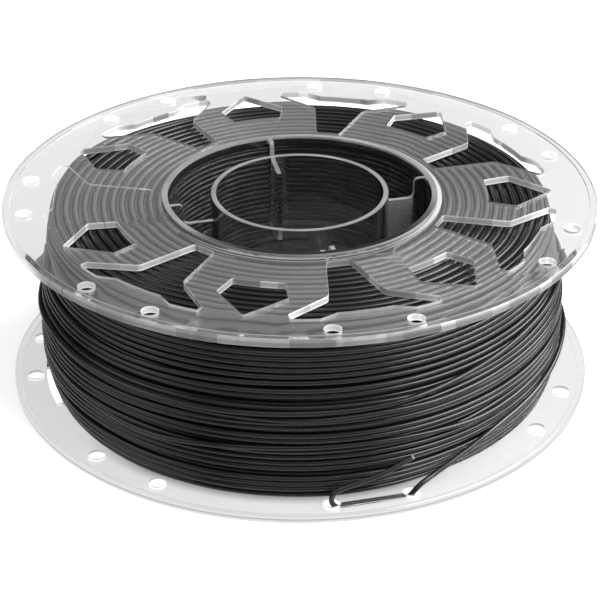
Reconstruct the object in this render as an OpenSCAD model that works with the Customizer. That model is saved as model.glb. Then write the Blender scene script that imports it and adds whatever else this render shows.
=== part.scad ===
// Filament spool: two clear mouldings that plug together, wound with round filament.
// Millimetres, +Z up, origin at the centre of the face that the spool stands on.

/* [Flange] */
// Diameter of each flange over its rim
flange_d = 200; // [196:0.5:212]
// Height of the whole spool, from rim to rim
spool_h = 66; // [62:0.5:72]
// Thickness of a flange's disc
disc_t = 2.3; // [1.9:0.1:2.8]
// How far the rim stands proud of the disc's outside face
rim_proud = 0.7; // [0.4:0.1:1.2]
// Width of the rim
rim_w = 2.6; // [1.8:0.1:3.4]
// Chamfer on the rim's outer edges
rim_chamfer = 0.4; // [0.2:0.1:0.6]

/* [Drum and hub] */
// Outside diameter of the drum that the filament is wound on
drum_d = 93; // [86:0.5:96]
// Thickness of the drum's wall
drum_wall = 1.9; // [1.6:0.1:2.4]
// Bore for the spindle
bore_d = 56.6; // [50:0.2:60]
// Thickness of the hub tube's wall
hub_wall = 1.9; // [1.5:0.1:2.4]
// Thickness of each radial rib
rib_t = 1.6; // [1.2:0.1:2.4]
// Number of radial ribs
rib_count = 4; // [3:1:6]
// Length of a rib's tall shoulder, inwards from the drum's wall
shoulder_len = 4.3; // [3.5:0.1:6]
// How far a rib steps down from its shoulder towards the hub
rib_step = 7.2; // [5:0.1:12]
// Rounding of the shoulder's top corner
shoulder_round = 1.5; // [1:0.1:2.5]
// Rounding of the inside corner below the shoulder
step_round = 2; // [1:0.1:2.5]

/* [Seam] */
// Length of the tongue that plugs into the other half's drum
lap_len = 2; // [1.5:0.1:4]
// Clearance round the tongue
lap_gap = 0.1; // [0.05:0.01:0.15]

/* [Small holes] */
// Diameter of the holes that a filament end is tucked through
hole_d = 5.6; // [5:0.1:6.5]
// Distance between the two holes of a pair
hole_pair = 26; // [22:0.5:30]
// Flat land between the holes and the rim
hole_land = 1.8; // [1:0.1:2.4]

/* [Windows] */
// Number of branched windows, and of five-sided windows between them
window_count = 7; // [6:1:8]
// Flat land between the small holes and the windows
window_land = 3.7; // [3:0.1:4.5]
// Distance from the drum to a branched window's foot
foot_gap = 3.9; // [3:0.1:5]
// Width of a branched window at its foot
foot_w = 8.2; // [7:0.1:9]
// Width of a branched window where it forks
fork_w = 17.8; // [16:0.1:19]
// Distance from the axis to the fork
fork_y = 71.8; // [70:0.1:73]
// Rounding at the fork
fork_round = 3; // [2:0.1:4]
// Half angle between the tips of the two arms
arm_a = 16.2; // [15.5:0.1:16.8]
// Length of the short edge that ends an arm
arm_end = 2.8; // [2:0.1:3.4]
// Depth of the shallow step between the two arms
notch_depth = 3.3; // [2:0.1:4]
// Half angle of the step's floor
notch_a = 6.2; // [5:0.1:7]
// Half angle at which the step's sides reach the outer edge
notch_out_a = 10; // [9:0.1:11]
// Width of a five-sided window at its shoulders
house_w = 23; // [21:0.1:24]
// Distance from the axis to the shoulders
house_y = 72.3; // [71:0.1:74]
// Width of a five-sided window at its base
base_w = 16.8; // [15:0.1:18]
// Radius of the base
base_r = 63.6; // [62:0.1:65]
// Distance from the point of a five-sided window to the ring of the arms' tips
apex_gap = 0.7; // [0.4:0.1:2]
// Rounding of the windows' corners
corner_round = 0.9; // [0.5:0.1:1.2]
// Depth of the bare panel that takes one branched window's place
panel_depth = 0.4; // [0.2:0.1:0.8]

/* [Filament] */
// Diameter of the filament
strand_d = 1.75; // [1.6:0.05:1.85]
// Largest diameter of the winding
wound_d = 181; // [176:0.5:182]
// Height at which the winding is fullest
full_z = 27; // [24:0.5:36]
// How much the winding's radius falls from there to its top
wound_fall = 7; // [4:0.1:9]
// How much it falls over the same height downwards
wound_fall_low = 5; // [3:0.1:8]
// Radial step from one layer to the next where they meet a flange
layer_step = 1.56; // [1.5:0.01:1.7]
// Clearance between the winding and the two mouldings
wind_gap = 0.2; // [0.15:0.05:0.4]
// Clearance between the packed layers and the outer turns
layer_gap = 0.1; // [0.05:0.05:0.3]
// How far the last turn lies above the turns that it crosses
cross_lift = 2.25; // [2.2:0.05:2.6]
// Clearance round the strand in the groove under the lower flange
groove_gap = 0.05; // [0.05:0.01:0.1]
// Width of that groove
groove_w = 2.2; // [2:0.1:3]

/* [Hidden] */
$fn = 96;
cut = 1;                                  // how far a cutting solid runs past what it cuts

half_h = spool_h / 2;
flange_r = flange_d / 2;
rim_h = disc_t + rim_proud;
disc_in_z = half_h - rim_h;               // disc's inside face, measured from the seam
disc_out_z = half_h - rim_proud;          // disc's outside face, measured from the seam
drum_r = drum_d / 2;
drum_in_r = drum_r - drum_wall;
bore_r = bore_d / 2;
hub_r = bore_r + hub_wall;
lap_r = drum_r - drum_wall / 2;
shoulder_r = drum_in_r - shoulder_len;

hole_r = hole_d / 2;
hole_ring_r = flange_r - rim_w - hole_land - hole_r;
hole_a = asin(hole_pair / 2 / hole_ring_r);
hole_pair_y = hole_ring_r * cos(hole_a);

pitch_a = 360 / window_count;
front_a = 270;                            // a branched window, a pair of holes and a rib face -Y
panel_index = -2;                         // which branched window is the bare panel
window_out_r = hole_ring_r - hole_r - window_land;
foot_r = drum_r + foot_gap;
arm_skew = 0.3;                           // the arm's inner corner lies this many degrees further round
corner_steps = 4;

strand_r = strand_d / 2;
wind_lo = rim_h + wind_gap;
wind_hi = spool_h - rim_h - wind_gap;
groove_roof = strand_d + 2 * groove_gap;
core_in_r = drum_r + wind_gap;
ridge_depth = 0.9 * strand_r;
inner_turns = 31;                         // turns of the innermost layer, seen through the drum
tail_lane_y = -hole_pair_y - 0.8;         // the strand runs under the flange on this line

loops = 24;                               // turns in the outer layer
loop_rings = 24;                          // rings in each turn
turn_sides = 6;
lay_loops = 22.9;                         // turns laid side by side before the last one crosses back
rise_loops = 0.15;                        // part of a turn in which the strand climbs on top
crest_loop = 23.5;                        // where the crossing turn is highest

// The strand's free end, from the winding to its cut end.
tail_route = [
    [65.7, -63.4, 17.0], [64.3, -64.9, 16.8], [60.0, -69.0, 16.3], [53.8, -74.0, 15.6],
    [47.2, -78.6, 14.9], [41.6, -82.0, 13.8], [36.4, -84.2, 11.8], [31.0, -86.2, 9.8],
    [26.0, -88.0, 8.0], [21.6, -89.5, 6.4], [18.5, -90.7, 5.4], [16.4, -91.5, 4.6],
    [14.8, -92.0, 3.6], [13.5, -92.4, 2.5], [12.4, -92.6, 1.65], [11.2, -92.7, 1.07],
    [9.9, -92.7, 0.9], [8.6, -92.7, 0.9], [4.0, -92.7, 0.9], [-4.0, -92.7, 0.9],
    [-8.6, -92.7, 0.9], [-9.9, -92.7, 0.9], [-11.2, -92.7, 1.15], [-12.3, -92.7, 1.9],
    [-13.05, -92.7, 3.0], [-13.3, -92.7, 4.3], [-13.05, -92.7, 5.6], [-12.3, -92.7, 6.7],
    [-11.2, -92.7, 7.4], [-9.8, -92.7, 7.8], [-7.0, -92.8, 8.6], [-3.6, -92.9, 9.55],
    [1.0, -93.0, 10.8], [4.9, -92.7, 11.95], [8.4, -92.0, 13.1], [11.4, -91.3, 14.1],
    [13.6, -90.8, 14.8]
];
tail_sides = 8;
tail_steps = 2;                           // rings between one point of the route and the next

function unit(v) = v / norm(v);
function polar(r, a) = [r * sin(a), r * cos(a)];
function mirrored(points) = [for (i = [len(points) - 1:-1:0]) [-points[i][0], points[i][1], points[i][2]]];
function at(point, radius) = [point[0], point[1], radius];

// Arc that rounds the corner b of the path a, b, c, no longer than the shorter side allows
function corner_arc(a, b, c, r) =
    let (u = unit(a - b), v = unit(c - b), half = acos(u * v) / 2)
    let (run = min(r / tan(half), 0.45 * min(norm(a - b), norm(c - b))), rr = run * tan(half))
    let (centre = b + unit(u + v) * rr / sin(half), turn = 180 - 2 * half)
    let (from = b + u * run - centre, to = b + v * run - centre)
    [for (i = [0:corner_steps]) let (f = i / corner_steps)
        centre + (from * sin((1 - f) * turn) + to * sin(f * turn)) / sin(turn)];

// Closed outline from points [x, y, radius], with each corner rounded by its radius
function rounded(points) =
    let (n = len(points), xy = [for (p = points) [p[0], p[1]]])
    [for (i = [0:n - 1]) let (r = points[i][2])
        each r > 0 ? corner_arc(xy[(i + n - 1) % n], xy[i], xy[(i + 1) % n], r) : [xy[i]]];

// Outlines of the windows, with y pointing away from the axis along the window's centre line
function branched_side() = [
    at(polar(window_out_r - notch_depth, notch_a / 2), 0),
    at(polar(window_out_r - notch_depth, notch_a), corner_round),
    at(polar(window_out_r, notch_out_a), corner_round),
    at(polar(window_out_r, (notch_out_a + arm_a) / 2), 0),
    at(polar(window_out_r, arm_a), corner_round),
    at(polar(window_out_r - arm_end, arm_a + arm_skew), corner_round),
    [fork_w / 2, fork_y, fork_round],
    [foot_w / 2, sqrt(foot_r * foot_r - foot_w * foot_w / 4), corner_round]
];
function branched_outline() = rounded(concat(branched_side(), mirrored(branched_side())));

function house_side() =
    let (base_a = asin(base_w / 2 / base_r))
    [
        [house_w / 2, house_y, corner_round],
        at(polar(base_r, base_a), corner_round),
        at(polar(base_r, base_a / 2), 0)
    ];
function house_outline() = rounded(concat(
    [[0, window_out_r - apex_gap, corner_round]], house_side(), [[0, base_r, 0]], mirrored(house_side())));

// Places a child, drawn with y outwards, on the ray at angle a
module on_ray(a) {
    rotate(a - 90) children();
}

module window_cut(a, outline) {
    translate([0, 0, disc_in_z - cut])
        linear_extrude(disc_t + 2 * cut) on_ray(a) polygon(outline);
}

module windows() {
    for (i = [0:window_count - 1]) {
        branched_a = front_a + (i + panel_index) * pitch_a;
        window_cut(branched_a + pitch_a / 2, house_outline());
        if (i > 0) window_cut(branched_a, branched_outline());
    }
}

// Shallow bare field where one branched window is left out
module blind_panel() {
    translate([0, 0, disc_out_z - panel_depth])
        linear_extrude(panel_depth + cut)
            on_ray(front_a + panel_index * pitch_a) polygon(branched_outline());
}

module small_holes() {
    for (i = [0:window_count - 1], side = [-1, 1])
        rotate(front_a + i * pitch_a + side * hole_a)
            translate([hole_ring_r, 0, disc_in_z - cut])
                cylinder(r = hole_r, h = disc_t + 2 * cut);
}

// Flange, rim and drum wall as one revolved section, with the seam at z = 0
module flange_and_drum() {
    rotate_extrude() polygon([
        [drum_in_r, 0],
        [drum_r, 0],
        [drum_r, disc_in_z],
        [flange_r - rim_chamfer, disc_in_z],
        [flange_r, disc_in_z + rim_chamfer],
        [flange_r, half_h - rim_chamfer],
        [flange_r - rim_chamfer, half_h],
        [flange_r - rim_w, half_h],
        [flange_r - rim_w, disc_out_z],
        [drum_r, disc_out_z],
        [drum_r, half_h],
        [drum_in_r, half_h]
    ]);
}

module hub_tube() {
    rotate_extrude() polygon([[bore_r, 0], [hub_r, 0], [hub_r, half_h], [bore_r, half_h]]);
}

module rib() {
    from_r = hub_r - hub_wall / 2;
    rotate([90, 0, 0]) linear_extrude(rib_t, center = true) polygon(rounded([
        [from_r, 0, 0],
        [lap_r, 0, 0],
        [lap_r, half_h, 0],
        [shoulder_r, half_h, shoulder_round],
        [shoulder_r, half_h - rib_step, step_round],
        [from_r, half_h - rib_step, 0]
    ]));
}

module ribs() {
    for (i = [0:rib_count - 1]) rotate(front_a + i * 360 / rib_count) rib();
}

module ring(inner_r, outer_r, h) {
    rotate_extrude() polygon([[inner_r, 0], [outer_r, 0], [outer_r, h], [inner_r, h]]);
}

// Half ring on the +X side, a tongue in the outer half of the drum's wall
module tongue() {
    intersection() {
        translate([0, 0, -lap_len]) ring(lap_r + lap_gap / 2, drum_r, lap_len + cut);
        translate([lap_gap, -drum_r, -lap_len]) cube([drum_r, drum_d, lap_len + cut]);
    }
}

// The place for the other half's tongue, on the -X side
module tongue_recess() {
    intersection() {
        translate([0, 0, -cut]) ring(lap_r - lap_gap / 2, drum_r + cut, lap_len + lap_gap + cut);
        translate([-drum_r - cut, -drum_r - cut, -cut])
            cube([drum_r + cut, drum_d + 2 * cut, lap_len + lap_gap + cut]);
    }
}

// One moulding, with its seam at z = 0 and its flange on top. Two of them plug together.
module half_moulding() {
    difference() {
        union() {
            flange_and_drum();
            hub_tube();
            ribs();
            tongue();
        }
        tongue_recess();
        windows();
        blind_panel();
        small_holes();
    }
}

module upper_half() {
    color([0.86, 0.88, 0.9, 0.4]) translate([0, 0, half_h]) half_moulding();
}

module lower_half() {
    color([0.82, 0.84, 0.86, 0.4]) difference() {
        translate([0, 0, half_h]) rotate([0, 180, 0]) half_moulding();
        translate([-hole_pair / 2, tail_lane_y - groove_w / 2, -cut])
            cube([hole_pair, groove_w, groove_roof + cut]);
    }
}

// Radius of the winding's surface at height z, and of the outer layer's centre line
function wound_r(z) =
    wound_d / 2 - (z > full_z ? wound_fall : wound_fall_low)
        * pow((z - full_z) / (spool_h - rim_h - full_z), 2);
function seat_r(z) = wound_r(z) - strand_r;

// Outline of one turn that lies against a flat face, as [place along the face, depth below it].
// Where the turns lie a pitch apart, a row of them makes ridges with narrow valleys between.
function ridge(centre, pitch) =
    let (base = min(strand_r, 0.45 * pitch), crest = 0.45 * strand_r)
    [[centre - base, ridge_depth], [centre - crest, 0], [centre + crest, 0], [centre + base, ridge_depth]];
function ridges(first, pitch, count) = [for (i = [0:count - 1]) each ridge(first + i * pitch, pitch)];

// The turns of all layers against one flange, from the drum outwards. Every other turn
// lies deeper, in the valley beside it. The first point is left out, at the core's corner.
function end_ridges(outer_r) =
    let (first = core_in_r + strand_r, pitch = 2 * layer_step)
    let (points = ridges(first, pitch, 1 + floor((outer_r - strand_r - first) / pitch)))
    [for (i = [1:len(points) - 1]) points[i]];

// The innermost layer against the drum, from the upper flange down, without its corner points
function inner_ridges() =
    let (pitch = (wind_hi - wind_lo - strand_d) / (inner_turns - 1))
    let (points = ridges(strand_r, pitch, inner_turns))
    [for (i = [1:len(points) - 2]) points[i]];

// Packed layers under the outer turns. The turns are drawn as straight runs between rings,
// so the core stays inside the middle of those runs.
module wound_filament() {
    steps = 12;
    side_lo = wind_lo + ridge_depth;
    side_hi = wind_hi - ridge_depth;
    side = [for (i = [0:steps]) let (z = side_lo + (side_hi - side_lo) * i / steps)
        [seat_r(z) * cos(180 / loop_rings) - strand_r - layer_gap, z]];
    inside = [for (p = inner_ridges()) [core_in_r + p[1], wind_hi - p[0]]];
    lower_end = [for (p = end_ridges(side[0][0])) [p[0], wind_lo + p[1]]];
    upper = end_ridges(side[steps][0]);
    upper_end = [for (i = [len(upper) - 1:-1:0]) [upper[i][0], wind_hi - upper[i][1]]];
    color([0.12, 0.12, 0.13]) rotate_extrude() polygon(concat(inside, lower_end, side, upper_end));
}

// Closed tube of straight runs through the points, its end faces square to the given directions
module tube(points, radius, sides, first_dir, last_dir) {
    n = len(points);
    dirs = [for (i = [0:n - 1]) i == 0 ? unit(first_dir) : i == n - 1 ? unit(last_dir)
        : unit(unit(points[i] - points[i - 1]) + unit(points[i + 1] - points[i]))];
    normals = [for (i = 0, v = unit(cross(dirs[0], [0, 0, 1])); i < n;
        i = i + 1, v = i < n ? unit(v - dirs[i] * (v * dirs[i])) : v) v];
    verts = [for (i = [0:n - 1], k = [0:sides - 1])
        let (a = 360 * k / sides, other = cross(dirs[i], normals[i]))
        points[i] + radius * (normals[i] * cos(a) + other * sin(a))];
    walls = [for (i = [0:n - 2], k = [0:sides - 1])
        let (a = i * sides + k, b = i * sides + (k + 1) % sides)
        each [[a, b + sides, b], [a, a + sides, b + sides]]];
    first_cap = [for (k = [1:sides - 2]) [0, k, k + 1]];
    last = (n - 1) * sides;
    last_cap = [for (k = [1:sides - 2]) [last, last + k + 1, last + k]];
    polyhedron(verts, concat(walls, first_cap, last_cap));
}

// Height and radius of the outer layer's centre line after t turns
tail_from = tail_route[0];
tail_dir = unit(tail_route[1] - tail_route[0]);
end_a = atan2(tail_from[1], tail_from[0]);
end_r = norm([tail_from[0], tail_from[1]]);
lay_hi = wind_hi - strand_r;
lay_lo = wind_lo + strand_r;
rise_end = lay_loops + rise_loops;

function ease(f) = let (g = max(0, min(1, f))) g * g * (3 - 2 * g);
function turn_z(t) =
    t < lay_loops ? lay_hi + (lay_lo - lay_hi) * t / lay_loops
    : t < crest_loop ? lay_lo + (full_z - lay_lo) * ease((t - rise_end) / (crest_loop - rise_end))
    : full_z + (tail_from[2] - full_z) * pow((t - crest_loop) / (loops - crest_loop), 2);
function turn_r(t) =
    let (z = turn_z(t), over = seat_r(z) + cross_lift * ease((t - lay_loops) / rise_loops))
    over + (end_r - seat_r(tail_from[2]) - cross_lift) * ease((t - crest_loop) / (loops - crest_loop));
function turn_point(t) =
    let (a = end_a + 360 * (loops - t), r = turn_r(t)) [r * cos(a), r * sin(a), turn_z(t)];

turn_points = concat(
    [for (i = [0:loops * loop_rings - 1]) turn_point(i / loop_rings)],
    [tail_from - tail_dir * strand_d * 1.1, tail_from]);

// Least gap between two turns, measured on points twice as close as the rings
gap_points = [for (i = [0:2 * loops * loop_rings])
    let (k = floor(i / 2), p = turn_point(k / loop_rings), q = turn_point((k + 1) / loop_rings))
    i % 2 == 0 ? p : (p + q) / 2];
function least_gap(points, skip) =
    min([for (i = [0:len(points) - skip - 1]) min([for (j = [i + skip:len(points) - 1])
        norm(points[i] - points[j])])]) - strand_d;

module outer_turns() {
    echo(str("least gap between turns: ", least_gap(gap_points, loop_rings), " mm"));
    color([0.16, 0.16, 0.17])
        tube(turn_points, strand_r, turn_sides, turn_points[1] - turn_points[0], tail_dir);
}

// Smooth curve through the route's points
function spline(p0, p1, p2, p3, f) =
    0.5 * (2 * p1 + (p2 - p0) * f + (2 * p0 - 5 * p1 + 4 * p2 - p3) * f * f
        + (3 * p1 - p0 - 3 * p2 + p3) * f * f * f);
function smooth(points, steps) =
    let (n = len(points))
    concat([for (i = [0:n - 2], k = [0:steps - 1])
        spline(points[max(i - 1, 0)], points[i], points[i + 1], points[min(i + 2, n - 1)], k / steps)],
        [points[n - 1]]);

module filament_tail() {
    points = smooth(tail_route, tail_steps);
    n = len(points);
    color([0.2, 0.2, 0.21])
        tube(points, strand_r, tail_sides, tail_dir, points[n - 1] - points[n - 2]);
}

upper_half();
lower_half();
wound_filament();
outer_turns();
filament_tail();
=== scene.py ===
# %% [markdown]
# # A clear spool, wound with black printing filament
#
# The object is simple to name and hard to make look right: two clear mouldings that plug
# together, and a third of a kilometre of thin strand wound between them. The strand is 1.75 mm
# thick, so everything that the eye reads on this object is a few millimetres across or less.
#
# The measured model is loaded first and never moved. Everything after it is built round it, in
# metres, with +Z up and the spool standing on the floor at z = 0.

# %% Load the measured model
import math

import bpy
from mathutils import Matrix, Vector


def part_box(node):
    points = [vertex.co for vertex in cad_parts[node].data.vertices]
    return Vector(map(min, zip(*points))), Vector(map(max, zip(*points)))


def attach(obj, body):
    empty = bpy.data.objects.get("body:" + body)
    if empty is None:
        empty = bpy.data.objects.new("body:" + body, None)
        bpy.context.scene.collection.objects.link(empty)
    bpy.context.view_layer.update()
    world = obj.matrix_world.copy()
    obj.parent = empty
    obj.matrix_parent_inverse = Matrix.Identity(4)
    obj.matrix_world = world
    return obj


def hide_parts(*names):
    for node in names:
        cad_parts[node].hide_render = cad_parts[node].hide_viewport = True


MM = 0.001
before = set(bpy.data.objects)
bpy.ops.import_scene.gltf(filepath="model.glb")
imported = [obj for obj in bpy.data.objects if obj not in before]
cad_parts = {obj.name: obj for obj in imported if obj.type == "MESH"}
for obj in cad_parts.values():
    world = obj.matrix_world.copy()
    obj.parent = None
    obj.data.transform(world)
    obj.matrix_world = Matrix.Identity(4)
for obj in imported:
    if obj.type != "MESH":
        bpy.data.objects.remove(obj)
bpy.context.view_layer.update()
spool_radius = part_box("upper_half")[1].x
spool_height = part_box("upper_half")[1].z
bpy.context.scene.view_settings.view_transform = "Standard"
print("nodes:", ", ".join(sorted(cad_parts)))
print(f"spool: {spool_radius * 2 / MM:.0f} mm across, {spool_height / MM:.0f} mm high")

# %% [markdown]
# ## The camera
#
# A long lens from a distance of about seven flange radii keeps the two flanges nearly parallel,
# which is how such a product is usually shown. The camera looks down by 29 degrees, so that the
# top flange and the side of the winding are both seen. It is placed by angle and distance from
# a point on the spool's axis, so each number can be changed by itself.
#
# Operators act on whatever is selected, and the loaded model starts out selected. So nothing is
# left selected before the camera, or anything else, is added.

# %% Place the camera
from mathutils import Matrix, Vector

view_azimuth = math.radians(255.9)
view_elevation = math.radians(29.09)
view_distance = 0.6867
view_roll = math.radians(-0.14)
aim = Vector((0.0, 0.0, 0.02382))
lens_mm = 118.3
sensor_mm = 36


def deselect():
    """Back to object mode, with nothing selected."""
    if bpy.context.object and bpy.context.object.mode != "OBJECT":
        bpy.ops.object.mode_set(mode="OBJECT")
    bpy.ops.object.select_all(action="DESELECT")


towards_camera = Vector((
    math.cos(view_elevation) * math.cos(view_azimuth),
    math.cos(view_elevation) * math.sin(view_azimuth),
    math.sin(view_elevation),
))
deselect()
bpy.ops.object.camera_add(location=aim + towards_camera * view_distance)
camera = bpy.context.object
camera.name = "camera"
camera.rotation_mode = "QUATERNION"
turn = towards_camera.to_track_quat("Z", "Y")
camera.rotation_quaternion = turn @ Matrix.Rotation(view_roll, 3, "Z").to_quaternion()
camera.data.lens = lens_mm
camera.data.sensor_width = sensor_mm
bpy.context.scene.camera = camera
print(f"camera: {view_distance:.3f} m away, lens {lens_mm} mm")

# %% [markdown]
# ## The free end of the strand
#
# The last stretch of filament comes off the winding, dives through a small hole near the rim of
# the lower flange, runs under the flange to the next hole, comes up again and ends in a clean
# cut, leaning on the winding. Filament is stiff, so it makes wide, springy bends and no sag.
#
# Its route is a short list of points, in millimetres, joined by one smooth curve. A curve
# object with a round bevel is the simplest way to give such a line its thickness, and it is
# then made a mesh, so that its cut face can have a finish of its own.

# %% Draw a smooth line, and thicken it into a strand
import numpy as np

strand_diameter = 1.75 * MM


def smooth_line(points, steps):
    """A smooth curve through all the points, with a number of steps between one and the next."""
    p = np.asarray(points, float)
    p = np.vstack([p[:1], p, p[-1:]])
    f = (np.arange(steps) / steps)[:, None]
    runs = []
    for a, b, c, d in zip(p, p[1:], p[2:], p[3:]):
        runs.append(0.5 * (2 * b + (c - a) * f + (2 * a - 5 * b + 4 * c - d) * f**2
                           + (3 * b - a - 3 * c + d) * f**3))
    return np.vstack([*runs, p[-1:]])


def line_length(line):
    return float(np.linalg.norm(np.diff(line, axis=0), axis=1).sum())


def select_only(thing):
    deselect()
    thing.select_set(True)
    bpy.context.view_layer.objects.active = thing


def strand_mesh(name, line, sides):
    """One open line, thickened into a round strand with that many sides, as a mesh."""
    curve = bpy.data.curves.new(name, "CURVE")
    curve.dimensions = "3D"
    curve.bevel_depth = strand_diameter / 2
    curve.bevel_resolution = sides // 2 - 2
    curve.use_fill_caps = True
    spline = curve.splines.new("POLY")
    spline.points.add(len(line) - 1)
    spline.points.foreach_set("co", np.hstack([line, np.ones((len(line), 1))]).ravel())
    thing = bpy.data.objects.new(name, curve)
    bpy.context.scene.collection.objects.link(thing)
    select_only(thing)
    bpy.ops.object.convert(target="MESH")
    return bpy.context.object


print(f"strand: {strand_diameter / MM} mm thick")

# %% Lay the free end along its route
tail_sides = 16
steps_between_points = 6

tail_route = [
    (65.7, -63.4, 17.0), (64.3, -64.9, 16.8), (60.0, -69.0, 16.3), (53.8, -74.0, 15.6),
    (47.2, -78.6, 14.9), (41.6, -82.0, 13.8), (36.4, -84.2, 11.8), (31.0, -86.2, 9.8),
    (26.0, -88.0, 8.0), (21.6, -89.5, 6.4), (18.5, -90.7, 5.4), (16.4, -91.5, 4.6),
    (14.8, -92.0, 3.6), (13.5, -92.4, 2.5), (12.4, -92.6, 1.65), (11.2, -92.7, 1.07),
    (9.9, -92.7, 0.9), (8.6, -92.7, 0.9), (4.0, -92.7, 0.9), (-4.0, -92.7, 0.9),
    (-8.6, -92.7, 0.9), (-9.9, -92.7, 0.9), (-11.2, -92.7, 1.15), (-12.3, -92.7, 1.9),
    (-13.05, -92.7, 3.0), (-13.3, -92.7, 4.3), (-13.05, -92.7, 5.6), (-12.3, -92.7, 6.7),
    (-11.2, -92.7, 7.4), (-9.8, -92.7, 7.8), (-7.0, -92.8, 8.6), (-3.6, -92.9, 9.55),
    (1.0, -93.0, 10.8), (4.9, -92.7, 11.95), (8.4, -92.0, 13.1), (11.4, -91.3, 14.1),
    (13.6, -90.8, 14.8),
]

tail_line = smooth_line(tail_route, steps_between_points) * MM
tail = strand_mesh("filament_tail_strand", tail_line, tail_sides)
bpy.ops.object.shade_smooth_by_angle(angle=math.radians(50))
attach(tail, "root")
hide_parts("filament_tail")
print(f"free end: {line_length(tail_line):.4f} m along the curve")

# %% [markdown]
# ## How the finishes are wired
#
# A finish is a small network of nodes. Noise, or a point's own place on the object, is turned
# into a number, the number into a tone or a roughness, and that is joined to a socket of the
# shader. The same few kinds of node come back in every finish, so each gets a short name here.
#
# Places are read in object coordinates. They stay fixed to the object from whichever side it
# is seen, unlike coordinates of the camera or the window.

# %% Short names for the nodes that the finishes use
from types import SimpleNamespace

WHITE = (1, 1, 1, 1)


class Wiring:
    """A node network, with one short method for each kind of node."""

    def __init__(self, network):
        self.nodes = network.nodes
        self.links = network.links

    def feed(self, value, socket):
        """Gives a socket a plain number, or joins another node's output to it."""
        if isinstance(value, (int, float)):
            socket.default_value = value
        else:
            self.links.new(value, socket)

    def maths(self, operation, *values):
        node = self.nodes.new("ShaderNodeMath")
        node.operation = operation
        for value, socket in zip(values, node.inputs):
            self.feed(value, socket)
        return node.outputs[0]

    def product(self, first, *others):
        for other in others:
            first = self.maths("MULTIPLY", first, other)
        return first

    def remap(self, value, low, high):
        """low where the value is 0, and high where it is 1."""
        node = self.nodes.new("ShaderNodeMapRange")
        self.feed(low, node.inputs["To Min"])
        self.feed(high, node.inputs["To Max"])
        self.feed(value, node.inputs["Value"])
        return node.outputs["Result"]

    def ramp(self, value, start, end):
        """0 up to start, and 1 from end on."""
        node = self.nodes.new("ShaderNodeMapRange")
        self.feed(start, node.inputs["From Min"])
        self.feed(end, node.inputs["From Max"])
        self.feed(value, node.inputs["Value"])
        return node.outputs["Result"]

    def near(self, value, middle, reach):
        """1 within reach of the middle, and else 0."""
        return self.maths("COMPARE", value, middle, reach)

    def ray(self, kind):
        """1 for light rays of one kind, such as those that came through plastic, and else 0."""
        return self.nodes.new("ShaderNodeLightPath").outputs[kind]

    def noise(self, scale, detail):
        """Noise that is fixed to the object, in cycles a metre."""
        place = self.nodes.new("ShaderNodeTexCoord")
        node = self.nodes.new("ShaderNodeTexNoise")
        node.inputs["Scale"].default_value = scale
        node.inputs["Detail"].default_value = detail
        self.feed(place.outputs["Object"], node.inputs["Vector"])
        return node.outputs["Fac"]

    def place(self):
        """A point's x, y and z, its place seen from above, and its distance from the axis."""
        place = self.nodes.new("ShaderNodeTexCoord").outputs["Object"]
        above = self.nodes.new("ShaderNodeVectorMath")
        above.operation = "MULTIPLY"
        above.inputs[1].default_value = (1, 1, 0)
        self.feed(place, above.inputs[0])
        length = self.nodes.new("ShaderNodeVectorMath")
        length.operation = "LENGTH"
        self.feed(above.outputs["Vector"], length.inputs[0])
        parts = self.nodes.new("ShaderNodeSeparateXYZ")
        self.feed(place, parts.inputs[0])
        x, y, z = parts.outputs
        return SimpleNamespace(
            x=x, y=y, z=z, above=above.outputs["Vector"], radius=length.outputs["Value"])


def new_finish(name):
    """A new material, its wiring, and the sockets of its shader."""
    material = bpy.data.materials.new(name)
    material.use_nodes = True
    wiring = Wiring(material.node_tree)
    return material, wiring, wiring.nodes["Principled BSDF"].inputs


print("finishes are wired with maths, remap, ramp, near, ray, noise and place")

# %% [markdown]
# ## Materials: black filament
#
# Filament is extruded through a round die and cooled in water. Its surface is smooth, with a
# soft sheen and faint marks along its length. A Principled shader with a near-black colour and
# a low, uneven roughness gives the long highlights. Two layers of fine noise vary the roughness
# and the surface, so that no two turns shine quite alike.
#
# Seen through a clear flange the same strand looks dark grey. Light that wanders inside the
# plate reaches it from all sides, which a render of this length doesn't find by itself. So for
# rays that came through plastic its colour is painted a little paler, as painted light. The
# turns on the drum, deep inside the spool, get next to none of that light and stay black.

# %% Make the filament's finishes
filament_bends_light = 1.47
bare_black = 0.01


def filament_finish(name, painted_light_behind_plastic, shine=(0.13, 0.27)):
    """painted_light_behind_plastic is its tone through a clear wall, painted paler as light;
    shine is its lowest and highest roughness.
    """
    material, wiring, shader = new_finish(name)
    # Painted light: rays that came through plastic see a paler colour.
    tone = wiring.remap(wiring.ray("Is Transmission Ray"), bare_black, painted_light_behind_plastic)
    wiring.feed(tone, shader["Base Color"])
    wiring.feed(filament_bends_light, shader["IOR"])
    wiring.feed(wiring.remap(wiring.noise(90, 3), *shine), shader["Roughness"])
    bump = wiring.nodes.new("ShaderNodeBump")
    bump.inputs["Strength"].default_value = 0.05
    bump.inputs["Distance"].default_value = 0.04 * MM
    wiring.feed(wiring.noise(900, 1), bump.inputs["Height"])
    wiring.feed(bump.outputs["Normal"], shader["Normal"])
    return material


filament = filament_finish("black_filament", 0.09)
inner_filament = filament_finish("black_filament_inside", 0.008, shine=(0.25, 0.4))
end_filament = filament_finish("black_filament_ends", 0.11, shine=(0.2, 0.36))
tail_filament = filament_finish("black_filament_tail", 0.012, shine=(0.15, 0.28))
tail_filament.node_tree.nodes["Principled BSDF"].inputs["Specular IOR Level"].default_value = 0.7
print("finishes:", filament.name, inner_filament.name, end_filament.name, tail_filament.name)

# %% [markdown]
# The free end was cut with nippers. Its last millimetre is crushed a little: matt, and paler
# than the drawn skin. The faces that lie that close to the tip get a finish of their own.

# %% Finish the free end and its cut face
crushed_by_nippers = 1.1 * MM

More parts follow.
